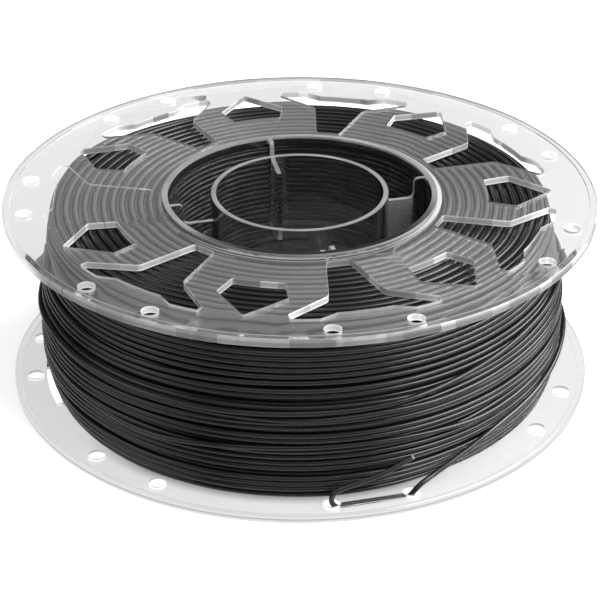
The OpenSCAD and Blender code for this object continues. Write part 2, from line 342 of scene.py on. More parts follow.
cut_face, wiring, shader = new_finish("filament_cut_face")
wiring.feed(wiring.remap(wiring.noise(4000, 2), 0.12, 0.3), shader["Base Color"])
wiring.feed(0.6, shader["Roughness"])

tail.data.materials.append(tail_filament)
tail.data.materials.append(cut_face)
tail_tip = Vector(tail_line[-1])
for face in tail.data.polygons:
    if (face.center - tail_tip).length < crushed_by_nippers:
        face.material_index = 1
print("finish:", cut_face.name)

# %% [markdown]
# ## Materials: clear plastic
#
# The mouldings are clear styrene. Light passes through, bends a little at each wall and loses
# some strength at every surface. A Principled shader with full transmission does all of this.
# Lamps can't find their way through bent glass in the time of a render, so for shadow and
# diffuse rays the same surface is a plain pale filter.
#
# One finish isn't enough, because a mould isn't polished alike all over. Each moulding gets
# seven: polished plastic, the flange's flat faces, the narrow side walls of the flange, the
# dull end faces of drum, hub and ribs, the ribs' webs, the drum's inside, and the walls of the
# groove that the strand lies in. They are made one by one here and shared out afterwards.

# %% Polished plastic
plastic_bends_light = 1.5
plastic_tone = (0.86, 0.862, 0.865, 1)
face_filter = (0.95, 0.953, 0.956, 1)
edge_filter = (0.85, 0.853, 0.856, 1)


def filter_soft_rays(wiring, tone):
    """For shadow and diffuse rays the surface is only a pale filter of that tone."""
    soft_ray = wiring.maths("MAXIMUM", wiring.ray("Is Shadow Ray"), wiring.ray("Is Diffuse Ray"))
    pale_filter = wiring.nodes.new("ShaderNodeBsdfTransparent")
    pale_filter.inputs["Color"].default_value = tone
    choice = wiring.nodes.new("ShaderNodeMixShader")
    wiring.feed(soft_ray, choice.inputs[0])
    wiring.feed(wiring.nodes["Principled BSDF"].outputs[0], choice.inputs[1])
    wiring.feed(pale_filter.outputs[0], choice.inputs[2])
    wiring.feed(choice.outputs[0], wiring.nodes["Material Output"].inputs["Surface"])


def polished_finish(name):
    """Smooth and clear. How clear, the caller still says."""
    material, wiring, shader = new_finish(name)
    shader["Base Color"].default_value = plastic_tone
    wiring.feed(plastic_bends_light, shader["IOR"])
    wiring.feed(0.0, shader["Roughness"])
    filter_soft_rays(wiring, face_filter)
    return material, wiring, shader


clear, wiring, shader = polished_finish("clear_plastic")
wiring.feed(wiring.remap(wiring.noise(25, 2), 1.0, 0.998), shader["Transmission Weight"])
print("finish:", clear.name)

# %% [markdown]
# An upright wall in clear plastic acts as a mirror from the inside, so the groove's walls would
# hide the strand that lies between them. A real strand is pressed into its groove and shows.
# With walls that don't bend light at all, it shows here too.

# %% Walls of the strand's groove
groove_wall, wiring, shader = polished_finish("clear_plastic_groove")
wiring.feed(wiring.remap(wiring.noise(25, 2), 1.0, 0.998), shader["Transmission Weight"])
wiring.feed(1.0, shader["IOR"])
print("finish:", groove_wall.name)

# %% [markdown]
# Haze is the share of the light that fine scuffs and dust scatter. The flange's flat faces have
# a few parts in a hundred. Beside the drum's foot the haze is raised in a thin pale ring at the
# front and a broader one on the right: painted highlight.

# %% Flat faces of the flanges


def flange_finish():
    material, wiring, shader = polished_finish("clear_plastic_flange")
    at = wiring.place()
    scuffs = wiring.remap(wiring.noise(25, 2), 0.015, 0.045)
    # Painted highlight: two pale rings of haze beside the drum's foot, a thin one at the front
    # and a broader one on the right. The scuffs above are real haze.
    thin_highlight_ring = wiring.near(at.radius, 47.9 * MM, 0.2 * MM)
    thin_highlight_ring = wiring.product(thin_highlight_ring, wiring.ramp(at.y, -15 * MM, -32 * MM))
    broad_highlight_ring = wiring.near(at.radius, 47.2 * MM, 0.8 * MM)
    broad_highlight_ring = wiring.product(broad_highlight_ring, wiring.ramp(at.x, 15 * MM, 42 * MM))
    haze = wiring.maths("ADD", scuffs, wiring.remap(thin_highlight_ring, 0.0, 0.22))
    haze = wiring.maths("ADD", haze, wiring.remap(broad_highlight_ring, 0.0, 0.3))
    wiring.feed(wiring.maths("SUBTRACT", 1.0, haze), shader["Transmission Weight"])
    return material


flange_face = flange_finish()
print("finish:", flange_face.name)

# %% Webs of the ribs, hazier on the thin part of the one at +X


def web_finish():
    material, wiring, shader = polished_finish("clear_plastic_webs")
    at = wiring.place()
    at_right = wiring.maths("GREATER_THAN", at.x, 20 * MM)
    thin_part = wiring.maths("LESS_THAN", at.radius, 40 * MM)
    hazier_part = wiring.product(at_right, thin_part)
    haze = wiring.product(wiring.remap(wiring.noise(60, 2), 0.05, 0.13), hazier_part)
    wiring.feed(wiring.maths("SUBTRACT", 1.0, haze), shader["Transmission Weight"])
    return material


web = web_finish()
print("finish:", web.name)

# %% [markdown]
# The drum's inside is clear where the winding lies behind it. Beside the two flanges it is
# painted as a dark band, a painted reflection: there the wall runs into the disc and mirrors the
# inside of the spool. The lip at either end is painted paler again, as painted light.

# %% The drum's inside


def drum_finish():
    material, wiring, shader = new_finish("clear_plastic_drum")
    wiring.feed(plastic_bends_light, shader["IOR"])
    wiring.feed(0.0, shader["Roughness"])
    seam = spool_height / 2
    from_seam = wiring.maths("ABSOLUTE", wiring.maths("SUBTRACT", wiring.place().z, seam))
    # Painted reflection: a dark band beside each flange, and painted light on the lip at either
    # end.
    dark_reflection_band = wiring.maths("GREATER_THAN", from_seam, seam - 3.6 * MM)
    lit_lip = wiring.maths("GREATER_THAN", from_seam, seam - 0.8 * MM)
    tone = wiring.maths("ADD", wiring.remap(dark_reflection_band, 0.86, 0.01), wiring.remap(lit_lip, 0.0, 0.25))
    wiring.feed(tone, shader["Base Color"])
    wiring.feed(wiring.remap(dark_reflection_band, 1.0, 0.2), shader["Transmission Weight"])
    filter_soft_rays(wiring, face_filter)
    return material


drum_wall = drum_finish()
print("finish:", drum_wall.name)

# %% [markdown]
# The ends of drum, hub and ribs come from faces of the mould that nobody polished, so they are
# grey and dull, in soft patches. The drum's end is clearer at the front, and so is the hub's
# outer edge.

# %% End faces of drum, hub and ribs


def end_finish():
    material, wiring, shader = new_finish("clear_plastic_ends")
    wiring.feed(plastic_bends_light, shader["IOR"])
    wiring.feed(0.35, shader["Roughness"])
    at = wiring.place()
    on_drum = wiring.near(at.radius, 45.2 * MM, 1.1 * MM)
    front = wiring.maths("SUBTRACT", 1.0, wiring.ramp(at.y, -38 * MM, -14 * MM))
    hub_edge = wiring.near(at.radius, 30.06 * MM, 0.17 * MM)
    clearer = wiring.maths("MAXIMUM", wiring.product(on_drum, front), hub_edge)
    patches = wiring.remap(wiring.noise(70, 2), 0.13, 0.33)
    tone = wiring.product(patches, wiring.remap(clearer, 1.0, 0.1))
    wiring.feed(tone, shader["Base Color"])
    wiring.feed(wiring.remap(clearer, 0.15, 0.6), shader["Transmission Weight"])
    filter_soft_rays(wiring, edge_filter)
    return material


end_face = end_finish()
print("finish:", end_face.name)

# %% [markdown]
# The narrow side walls of the rim, the windows and the holes shine as pale lines: pale colour
# and glow, painted light for the light that is caught inside the plate and leaves through them.
# On the upper flange they are painted brightest along both edges of the plate and paler towards
# +X, where the lamps are, and uneven: a pattern of large cells gives each stretch its own
# paleness and clearness. The walls past the winding, with nothing dark below them, get a painted
# glow as if lit through, and those at the back most of all. The rim's walls are less pale and
# glow less, and the rim at -X gets a painted glow of its own. Seen through the plate the walls
# are darker and less clear.

# %% Side walls of the upper flange
side_roughness = 0.12
rim_inside = 97 * MM


def upper_side_finish():
    material, wiring, shader = new_finish("clear_plastic_upper_edges")
    wiring.feed(plastic_bends_light, shader["IOR"])
    wiring.feed(side_roughness, shader["Roughness"])
    shader["Emission Color"].default_value = WHITE
    at = wiring.place()
    on_rim = wiring.maths("GREATER_THAN", at.radius, rim_inside)
    through_plastic = wiring.ray("Is Transmission Ray")
    plate_middle = spool_height - 1.85 * MM
    from_middle = wiring.maths("ABSOLUTE", wiring.maths("SUBTRACT", at.z, plate_middle))
    outline = wiring.ramp(from_middle, 0.5 * MM, 0.95 * MM)

    cells = wiring.nodes.new("ShaderNodeTexVoronoi")
    cells.inputs["Scale"].default_value = 85
    wiring.feed(at.above, cells.inputs["Vector"])
    chance = wiring.nodes.new("ShaderNodeSeparateColor")
    wiring.feed(cells.outputs["Color"], chance.inputs["Color"])

    # Painted light: paler along both edges of the plate and towards +X, less pale on the rim.
    pale = wiring.product(
        wiring.remap(chance.outputs["Red"], 0.32, 0.85),
        wiring.remap(outline, 0.55, 1.0),
        wiring.remap(wiring.ramp(at.x, -90 * MM, 90 * MM), 0.8, 1.25),
        wiring.remap(on_rim, 1.0, 0.42),
    )
    # Seen through the plate the walls are darker and less clear.
    palest = wiring.remap(through_plastic, 1.0, 0.15)
    wiring.feed(wiring.maths("MINIMUM", pale, palest), shader["Base Color"])
    clearness = wiring.product(
        wiring.remap(chance.outputs["Green"], 0.05, 0.35),
        wiring.remap(through_plastic, 1.0, 0.2),
    )
    wiring.feed(clearness, shader["Transmission Weight"])

    inside_rim = wiring.maths("LESS_THAN", at.radius, 98.5 * MM)
    # Painted glow past the winding, strongest at the back.
    hangs_free = wiring.product(
        wiring.ramp(at.radius, 84 * MM, 89 * MM),
        wiring.remap(wiring.ramp(at.y, -30 * MM, 20 * MM), 0.3, 1.0),
        wiring.maths("MAXIMUM", inside_rim, through_plastic),
    )
    glow = wiring.product(wiring.remap(hangs_free, 0.04, 0.8), wiring.remap(on_rim, 1.0, 0.42))
    # Painted glow on the rim at -X.
    left_rim_painted_glow = wiring.product(
        wiring.ramp(at.x, -91 * MM, -95 * MM), on_rim, wiring.remap(outline, 0.66, 0.5))
    wiring.feed(wiring.maths("MAXIMUM", glow, left_rim_painted_glow), shader["Emission Strength"])
    filter_soft_rays(wiring, edge_filter)
    return material


upper_sides = upper_side_finish()
print("finish:", upper_sides.name)

# %% [markdown]
# Just below the lower flange lies the white floor, so its side walls are painted nearly white
# with a glow, painted light, and a painted grey line along the upper edge. Its rim is painted
# with a pale top and a darker line under that. Under the winding the walls glow far less:
# painted shade.

# %% Side walls of the lower flange


def lower_side_finish():
    material, wiring, shader = new_finish("clear_plastic_lower_edges")
    wiring.feed(plastic_bends_light, shader["IOR"])
    wiring.feed(side_roughness, shader["Roughness"])
    wiring.feed(0.1, shader["Transmission Weight"])
    shader["Emission Color"].default_value = WHITE
    at = wiring.place()
    on_rim = wiring.maths("GREATER_THAN", at.radius, rim_inside)
    # Painted shade: a grey line along the upper edge of the walls.
    outline = wiring.ramp(at.z, 1.95 * MM, 2.2 * MM)
    tone = wiring.product(wiring.remap(outline, 0.3, 0.08), wiring.remap(on_rim, 1.0, 0.2))
    wiring.feed(tone, shader["Base Color"])

    # Painted light and shade on the rim: a paler top and a darker line under it.
    rim_top = wiring.remap(wiring.near(at.z, 2.2 * MM, 0.4 * MM), 0.66, 0.72)
    rim_line = wiring.remap(wiring.near(at.z, 1.45 * MM, 0.28 * MM), 0.0, 0.26)
    rim_glow = wiring.maths("SUBTRACT", rim_top, rim_line)
    wall_glow = wiring.remap(outline, 0.9, 0.42)
    # Painted shade: under the winding the walls glow far less.
    past_winding = wiring.ramp(at.radius, 86 * MM, 88 * MM)
    glow = wiring.product(
        wiring.remap(on_rim, wall_glow, rim_glow), wiring.remap(past_winding, 0.1, 1.0))
    wiring.feed(glow, shader["Emission Strength"])
    filter_soft_rays(wiring, edge_filter)
    return material


lower_sides = lower_side_finish()
print("finish:", lower_sides.name)

# %% [markdown]
# ## The two clear mouldings
#
# The measured solids already have every window, hole, rib and rim where they belong, but their
# edges are perfectly sharp. No moulded edge is: steel moulds have a small radius everywhere,
# and on clear plastic that radius is what catches the light and draws each window's outline.
# So a copy of each solid is cleaned, its flat faces are made whole again, and a narrow bevel
# rounds every edge that turns by more than 35 degrees.
#
# The faces at the seam stay triangles. They are flat rings round the bore, and a ring that is
# made whole can close over its own hole.
#
# Each face then gets its finish by where it lies and which way it looks.

# %% Choose a finish for each face
edge_round = 0.2 * MM
hub_outside = 30.3 * MM
drum_inside = 44.3 * MM
drum_wall_inside = 44.7 * MM
drum_step = 46.4 * MM
drum_outside = 46.6 * MM
flange_side = 3.0 * MM
rib_half = 1.0 * MM
groove_half_length = 10.1 * MM
groove_reach = 2 * MM
groove_y = tail_line[len(tail_line) // 2][1]


def finish_of(face, mesh):
    """Which of the moulding's finishes a face gets, as a number in its list."""
    polished, side, end, flange, drum, rib, groove = range(7)
    x, y, z = face.center
    radius = math.hypot(x, y)
    furthest = max(mesh.vertices[i].co.xy.length for i in face.vertices)
    level = abs(face.normal.z)
    upright = level < 0.3
    from_end = min(z, spool_height - z)
    if furthest > drum_outside:
        along_groove = abs(x) < groove_half_length and abs(y - groove_y) < groove_reach
        if along_groove and z < groove_reach:
            return groove
        if from_end < flange_side and level < 0.985:
            return side
        return flange if level > 0.9 else polished
    if radius > drum_step and upright and from_end < edge_round * 3.5:
        return end
    if hub_outside < radius < drum_inside and min(abs(x), abs(y)) < rib_half:
        across = face.normal.x if abs(x) < abs(y) else face.normal.y
        return end if abs(across) < 0.5 else rib
    if drum_inside < radius < drum_wall_inside and upright:
        return drum
    return end if from_end < edge_round * 0.1 else polished


print(f"strand's groove: {2 * groove_half_length / MM:.1f} mm long")

# %% [markdown]
# On the left of the lower flange one window reaches a little further out than the winding, and
# white floor shows between the two. Its tip is opened outwards by 3 mm: a flat outline of
# twelve points is extruded into a short block, and the block is cut out of the moulding. This
# comes before the flat faces are made whole, since moving the corners of a whole face
# afterwards folds it over itself.

# %% Open one window's tip
tip_starts = 172.5
tip_width = 16
tip_from = 85.6 * MM
tip_to = 89 * MM
tip_low = 0.3 * MM
tip_height = 3 * MM
tip_corners = 6


def open_window_tip(piece):
    deselect()
    bpy.ops.mesh.primitive_circle_add(vertices=2 * tip_corners, fill_type="NGON")
    block = bpy.context.object
    around = [math.radians(tip_starts + tip_width * i / (tip_corners - 1))
              for i in range(tip_corners)]
    outline = [(tip_to, a) for a in around] + [(tip_from, a) for a in reversed(around)]
    for vertex, (r, a) in zip(block.data.vertices, outline):
        vertex.co = (r * math.cos(a), r * math.sin(a), tip_low)
    bpy.ops.object.mode_set(mode="EDIT")
    bpy.ops.mesh.select_all(action="SELECT")
    bpy.ops.mesh.extrude_region_move(TRANSFORM_OT_translate={"value": (0, 0, tip_height)})
    bpy.ops.mesh.select_all(action="SELECT")
    bpy.ops.mesh.normals_make_consistent(inside=False)
    bpy.ops.object.mode_set(mode="OBJECT")
    select_only(piece)
    cut = piece.modifiers.new("tip", "BOOLEAN")
    cut.operation = "DIFFERENCE"
    cut.object = block
    bpy.ops.object.modifier_apply(modifier="tip")
    bpy.data.objects.remove(block)


print(f"window's tip: {(tip_to - tip_from) / MM:.1f} mm, over {tip_width} degrees")

# %% Copy a measured solid, and make its flat faces whole
seam_height = spool_height / 2


def copy_of_node(node_name, name):
    """A free copy of a measured node, with its own mesh and without the frame's own labels."""
    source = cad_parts[node_name]
    piece = source.copy()
    piece.data = source.data.copy()
    for label in list(piece.keys()):
        del piece[label]
    piece.parent = None
    piece.name = name
    piece.data.name = name
    bpy.context.scene.collection.objects.link(piece)
    return piece


def make_flat_faces_whole(piece):
    """Joins the triangles of each flat face, except at the seam."""
    for face in piece.data.polygons:
        face.select = abs(face.center.z - seam_height) > 0.1 * MM
    bpy.ops.object.mode_set(mode="EDIT")
    bpy.ops.mesh.dissolve_limited(angle_limit=math.radians(0.5))
    bpy.ops.object.mode_set(mode="OBJECT")


for node_name in ("upper_half", "lower_half"):
    print(f"{node_name}: {len(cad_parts[node_name].data.polygons)} loose triangles")

# %% Round the edges of both mouldings


def round_moulding(node_name, name, sides):
    piece = copy_of_node(node_name, name)
    select_only(piece)
    bpy.context.tool_settings.mesh_select_mode = (False, False, True)
    bpy.ops.object.mode_set(mode="EDIT")
    bpy.ops.mesh.select_all(action="SELECT")
    bpy.ops.mesh.remove_doubles(threshold=0.001 * MM)
    bpy.ops.mesh.select_all(action="DESELECT")
    bpy.ops.object.mode_set(mode="OBJECT")
    if node_name == "lower_half":
        open_window_tip(piece)
    make_flat_faces_whole(piece)
    bevel = piece.modifiers.new("edges", "BEVEL")
    bevel.width = edge_round
    bevel.segments = 2
    bevel.limit_method = "ANGLE"
    bevel.angle_limit = math.radians(35)
    bpy.ops.object.modifier_apply(modifier="edges")
    bpy.ops.object.shade_smooth_by_angle(angle=math.radians(20))
    piece.data.materials.clear()
    for finish in (clear, sides, end_face, flange_face, drum_wall, web, groove_wall):
        piece.data.materials.append(finish)
    for face in piece.data.polygons:
        face.material_index = finish_of(face, piece.data)
    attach(piece, "root")
    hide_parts(node_name)
    print(f"{name}: {len(piece.data.polygons)} faces")


round_moulding("upper_half", "upper_moulding", upper_sides)
round_moulding("lower_half", "lower_moulding", lower_sides)

# %% [markdown]
# ## How a winding settles
#
# A winding machine guides the strand up and down the drum while it turns, but the guide is
# never quite steady. Turns touch, ride up on each other, leave gaps, and now and then cross.
# Drawing that by hand never looks right, so the strand is laid as the machine lays it.
#
# The spool is cut into thin slices round its axis. In every slice each turn is a disc with a
# radius and a height. First each turn is dropped on whatever lies below it, in the order of
# winding. Then the discs push each other apart where they overlap, the strand's tension pulls
# them inwards, and its stiffness keeps each turn smooth from slice to slice. In the last
# quarter of the rounds the pull stops and the turns come to rest.
#
# From here on lengths are in millimetres until a line becomes a piece. Heights are called u and
# radii v, as arrays with one row for each turn.

# %% How discs push and drop
slices = 120
strand = strand_diameter / MM
same_place = 1e-6
out_of_reach = 1e3


def push_apart(u, v, others_u, others_v, share):
    """How far each disc must move so that it overlaps no other, as two arrays."""
    du = u[:, None] - others_u[None]
    dv = v[:, None] - others_v[None]
    apart = np.hypot(du, dv)
    short = np.clip(strand - apart, 0, None) * (apart > same_place)
    away = share * short / np.maximum(apart, same_place)
    return (du * away).sum(1), (dv * away).sum(1)


def drop(u, beds_u, beds_v, floor):
    """Lowest place of each disc at height u, on a floor and on discs that already lie there."""
    v = floor.copy()
    for bed_u, bed_v in zip(beds_u, beds_v):
        reach = strand**2 - (u - bed_u) ** 2
        v = np.maximum(v, np.where(reach > 0, bed_v + np.sqrt(np.maximum(reach, 0)), v))
    return v


def stiffen(values, amount, held):
    """Moves each point towards the middle of its neighbours, but not the last ones, held."""
    path = values.ravel()
    soft = path.copy()
    soft[1:-1] += amount * (0.5 * (path[:-2] + path[2:]) - path[1:-1])
    if held:
        soft[-held:] = path[-held:]
    return soft.reshape(values.shape)


print(f"{slices} slices of {360 / slices:.0f} degrees")

# %% The rule that lays a strand
pull_inwards = 0.03
pull_to_guide = 0.02
push_from_turns = 0.45
push_from_bed = 0.9
stiffness = 0.5
stiffness_at_rest = 0.1
no_bed = (np.full((1, slices), out_of_reach), np.zeros((1, slices)))


def settle(track, floor_of, limits, bed=no_bed, end=None, rounds=220):
    """
    Lays turns along a track of heights and returns their heights and radii. The bed is an
    earlier layer's, floor_of gives the smallest radius at a height, and end holds the heights
    and radii of the last few points, which don't move.
    """
    u = track.copy()
    v = np.zeros_like(u)
    bed_u, bed_v = bed
    held = len(end[0]) if end else 0
    for k in range(len(u)):
        below_u = np.vstack([bed_u, u[:k]])
        below_v = np.vstack([bed_v, v[:k]])
        v[k] = drop(u[k], below_u, below_v, floor_of(u[k]))
    for step in range(rounds):
        calm = step > rounds * 0.75
        move_u, move_v = push_apart(u, v, u, v, push_from_turns)
        bed_move_u, bed_move_v = push_apart(u, v, bed_u, bed_v, push_from_bed)
        u = u + move_u + bed_move_u
        v = v + move_v + bed_move_v
        if not calm:
            v -= pull_inwards
            u += pull_to_guide * (track - u)
        v = np.maximum(v, floor_of(u))
        u = np.clip(u, *limits)
        u = stiffen(u, stiffness_at_rest if calm else stiffness, held)
        v = stiffen(v, stiffness_at_rest if calm else stiffness, held)
        if held:
            u[-1, -held:], v[-1, -held:] = end
    return u, v


print(f"a turn is pulled in by {pull_inwards} mm in each round")

# %% Angles along a strand, and an unsteady guide


def ring_angles(rows, end_angle):
    """Azimuth of each point of the path, falling along the strand to end_angle at its end."""
    i = np.arange(rows * slices).reshape(rows, slices)
    return end_angle + 2 * math.pi * (rows - i / slices)


def unsteady(random, count, turns_a_wave):
    """Smooth random values of about one in size, one for each point of a path."""
    wave = slices * turns_a_wave
    knots = random.normal(size=int(count / wave) + 4)
    x = np.arange(count) / wave + 1
    i = x.astype(int)
    f = x - i
    ease = f * f * (3 - 2 * f)
    return knots[i] * (1 - ease) + knots[i + 1] * ease


print(f"a path of 30 turns has {30 * slices} points")

# %% [markdown]
# ## The layers of the winding
#
# Only what shows is wound turn by turn: the outermost layer, the layer under it, which shows
# in the gaps, the ends of all layers where they meet the two flanges, and the innermost layer,
# which shows through the clear drum. A plain dark body fills the space between them.
#
# No full spool is quite round. This one is fuller at the front near the lower flange and at the
# back left near the upper one, and slacker on the left at mid height, by one to two and a half
# millimetres. The turns are settled as if it were round, and then lean out or in by that much.

# %% Sizes of the winding
wind_low, wind_high = (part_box("wound_filament")[i].z / MM for i in (0, 1))
drum_radius = 46.5
drum_gap = 0.2
bottom_z = wind_low + strand / 2
top_z = wind_high - strand / 2
profile_z = [4, 8, 12, 16, 20, 27, 34, 42, 50, 57, 62]
profile_r = [88.1, 89.2, 89.6, 90.0, 90.5, 90.6, 90.4, 88.4, 86.9, 85.4, 84.2]


def seat_radius(z):
    """Radius on which the centre of the outermost layer runs, at height z."""
    return np.interp(z, profile_z, profile_r) - strand / 2


def between_flanges(z):
    """1 at mid height, falling to 0 at both flanges."""
    return np.clip(4 * (z - bottom_z) * (top_z - z) / (top_z - bottom_z) ** 2, 0, 1)


def sway(count):
    """How far the guide runs too high or too low at each point of a path, the same every turn."""
    angle = -2 * math.pi * np.arange(count) / slices
    return 0.7 * np.sin(angle + 1.0) + 0.4 * np.sin(2 * angle + 2.2) + 0.3 * np.sin(3 * angle)


def lean(angle, z):
    """How far the turns lie outside the round winding, at an azimuth and a height."""
    degrees = np.degrees(angle) % 360
    at_bottom = np.interp(degrees, [155, 172, 188, 202, 222, 240, 262, 288],
                          [0, -0.9, -0.9, 0, 1.6, 2.5, 2.5, 0])
    at_middle = np.interp(degrees, [140, 160, 190, 215], [0, -1.3, -1.3, 0])
    at_top = np.interp(degrees, [100, 125, 141, 150, 165], [0, 1.7, 1.9, 0.8, 0])
    amount = at_bottom * np.clip((15 - z) / 9, 0, 1) + at_top * np.clip((z - 50) / 8, 0, 1)
    return amount + at_middle * np.interp(z, [14, 24, 46, 54], [0, 1, 1, 0])


print(f"winding from z {wind_low:.1f} to {wind_high:.1f} mm, radius {max(profile_r)} mm")

# %% Settle the layer that lies under the outermost one
random = np.random.default_rng(7)
under_turns = 28
under_step = 1.85
limits = (bottom_z, top_z)

count = under_turns * slices
under_track = bottom_z + (top_z - bottom_z) * (np.arange(count) / (count - 1))
under_track = under_track + between_flanges(under_track) * sway(count)
under_track = under_track + 0.6 * unsteady(random, count, 0.35)
under_track = np.clip(under_track, *limits).reshape(under_turns, slices)
under_u, under_v = settle(
    under_track, lambda z: seat_radius(z) - under_step, limits, rounds=120)
print(f"under layer: {under_turns} turns")

# %% [markdown]
# The outermost layer runs from the upper flange down to the lower one. Its last one and a half
# turns climb back over the others, as they do when a spool is finished by hand, and end exactly
# where the free end begins. The heights of that climb are given by how many turns are left.

# %% Guide the outermost layer
outer_turns = 29
tail_start = np.asarray(tail_route[0])
turns_left = [1.54, 1.12, 0.978, 0.90, 0.85, 0.62, 0.0]
climb_heights = [bottom_z, 42.5, 42.3, 34.2, 33.3, 33.4, tail_start[2]]
soften_over = 9

count = outer_turns * slices
left = outer_turns - np.arange(count) / slices
down = (outer_turns - left) / (outer_turns - turns_left[0])
track = top_z + (bottom_z - top_z) * np.clip(down, 0, 1)
track = track + between_flanges(track) * sway(count)
track = track + 0.75 * unsteady(random, count, 0.32)
track = track + 0.4 * unsteady(random, count, 0.9)

climb = np.interp(left, turns_left[::-1], climb_heights[::-1])
weights = np.hanning(soften_over) / np.hanning(soften_over).sum()
climb = np.convolve(np.pad(climb, soften_over // 2, mode="edge"), weights, mode="valid")
track = np.where(left < turns_left[0], climb, track)
outer_track = np.clip(track, *limits).reshape(outer_turns, slices)
print(f"outermost layer: {outer_turns} turns, the last {turns_left[0]} of them climb back")

# %% Settle the outermost layer, held where the free end begins
held_points = 8
outer_gap = 0.35

tail_heading = np.asarray(tail_route[1]) - tail_start
tail_heading = tail_heading / np.linalg.norm(tail_heading)
end_angle = math.atan2(tail_start[1], tail_start[0])
end_radius = float(np.hypot(*tail_start[:2]))
arc = 2 * math.pi / slices * np.arange(held_points, 0, -1)
end_u = tail_start[2] - tail_heading[2] * end_radius * arc
end_v = np.full(held_points, end_radius)
outer_track[-1, -held_points:] = end_u
outer_u, outer_v = settle(
    outer_track, lambda z: seat_radius(z) - outer_gap, limits,
    bed=(under_u, under_v), end=(end_u, end_v))
print(f"outermost layer: radius up to {outer_v.max():.2f} mm")

# %% Turn the two outer layers into strands
turn_sides = 8


def strand_points(angles, radii, heights):
    a, r, z = np.ravel(angles), np.ravel(radii), np.ravel(heights)
    return np.stack([r * np.cos(a), r * np.sin(a), z], -1)


def wound_piece(name, line_mm, nodes=(), finish=filament):
    """Makes a strand of a line, and gives it the filament's finish."""
    thing = strand_mesh(name, line_mm * MM, turn_sides)
    thing.name = name
    bpy.ops.object.shade_smooth()
    thing.data.materials.clear()
    thing.data.materials.append(finish)
    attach(thing, "root")
    if nodes:
        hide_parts(*nodes)
    faces = len(thing.data.polygons)
    print(f"{name}: {line_length(line_mm) / 1000:.1f} m of strand, {faces} faces")


outer_angles = ring_angles(outer_turns, end_angle)
outer_line = strand_points(outer_angles, outer_v + lean(outer_angles, outer_u), outer_u)
wound_piece("outermost_turns", np.vstack([outer_line, tail_start]), ["outer_turns"])
under_angles = ring_angles(under_turns, end_angle)
under_line = strand_points(under_angles, under_v + lean(under_angles, under_u), under_u)
wound_piece("under_turns", under_line)

# %% [markdown]
# ## The ends of the layers, under each flange
#
# At a flange every layer has its last turn pressed against the clear disc. Seen through the
# disc they look like the grooves of a record. Layers lie a little closer together than the
# strand is thick, so every other turn is squeezed deeper, into the valley beside it. Each turn
# keeps its radius for most of the way round and then steps out to the next.

# %% Wind the two ends
layer_step = 1.56
squeezed_by = 0.86
step_part = 0.1
first_radius = drum_radius + drum_gap + strand / 2


def stepped(turns, part):
    """Counts turns: even for most of each turn, then a smooth step within its last part."""
    whole = np.floor(turns)
    f = np.clip((turns - whole - 1 + part) / part, 0, 1)
    return whole + f * f * (3 - 2 * f)


def end_rings(seed, face_z, inwards, step_azimuth):
    """The turns that lie against one flange. inwards is the way off it: -1 is down, 1 is up."""
    random = np.random.default_rng(seed)
    ring_count = int((seat_radius(face_z) - first_radius) / layer_step)
    count = ring_count * slices
    layer = stepped(np.arange(count) / slices, step_part)
    radii = first_radius + layer_step * layer + 0.06 * unsteady(random, count, 0.2)
    depth = squeezed_by * (0.5 - 0.5 * np.cos(math.pi * layer))
    depth = depth + 0.14 * np.abs(unsteady(random, count, 0.5))
    angles = ring_angles(ring_count, math.radians(step_azimuth))
    return strand_points(angles, radii, face_z + inwards * depth)


wound_piece("upper_end_turns", end_rings(21, top_z, -1, 200), finish=end_filament)
wound_piece("lower_end_turns", end_rings(22, bottom_z, 1, 20))

# %% Wind the innermost layer, which shows through the drum
inner_turns = 31
inner_step_part = 0.2
random = np.random.default_rng(5)

count = inner_turns * slices
inner_pitch = (top_z - bottom_z) / (inner_turns - 1)
turn_number = np.minimum(stepped(np.arange(count) / slices, inner_step_part), inner_turns - 1)
inner_z = top_z - inner_pitch * turn_number + 0.03 * unsteady(random, count, 0.2)
inner_angles = ring_angles(inner_turns, math.radians(150))
inner_line = strand_points(inner_angles, np.full(count, first_radius), inner_z)
wound_piece("inner_turns", inner_line, finish=inner_filament)

# %% [markdown]
# ## The packed layers between
#
# The rest of the winding is never seen, but it must stop the eye from looking through. Its
# cross-section is drawn beside the axis: a ring of points is added, every point is moved to
# its place on the section, and the ring is spun once round the axis. The last step of the spin
# lies on the first, so the doubles are merged, and the normals are then turned outwards.

# %% Spin the packed body
bulge_points = 20
spin_steps = 96
body_inner = drum_radius + drum_gap + strand * 0.6
body_low, body_high = wind_low + strand * 0.9, wind_high - strand * 0.9

section = [(body_inner, body_high), (body_inner, body_low)]
for i in range(bulge_points):
    z = body_low + (body_high - body_low) * i / (bulge_points - 1)
    section.append((seat_radius(z) - under_step - strand * 0.45, z))

deselect()
bpy.ops.mesh.primitive_circle_add(vertices=len(section), radius=0.01)
packed = bpy.context.object
packed.name = "packed_layers"
for vertex, (r, z) in zip(packed.data.vertices, section):
    vertex.co = Vector((r, 0, z)) * MM
bpy.ops.object.mode_set(mode="EDIT")
bpy.ops.mesh.select_all(action="SELECT")
bpy.ops.mesh.spin(steps=spin_steps, angle=2 * math.pi, center=(0, 0, 0), axis=(0, 0, 1))
bpy.ops.mesh.select_all(action="SELECT")
bpy.ops.mesh.remove_doubles(threshold=0.01 * MM)
bpy.ops.mesh.normals_make_consistent(inside=False)
bpy.ops.object.mode_set(mode="OBJECT")
bpy.ops.object.shade_smooth_by_angle(angle=math.radians(30))
packed.data.materials.append(filament)
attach(packed, "root")
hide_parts("wound_filament")
print(f"packed_layers: {len(packed.data.polygons)} faces")

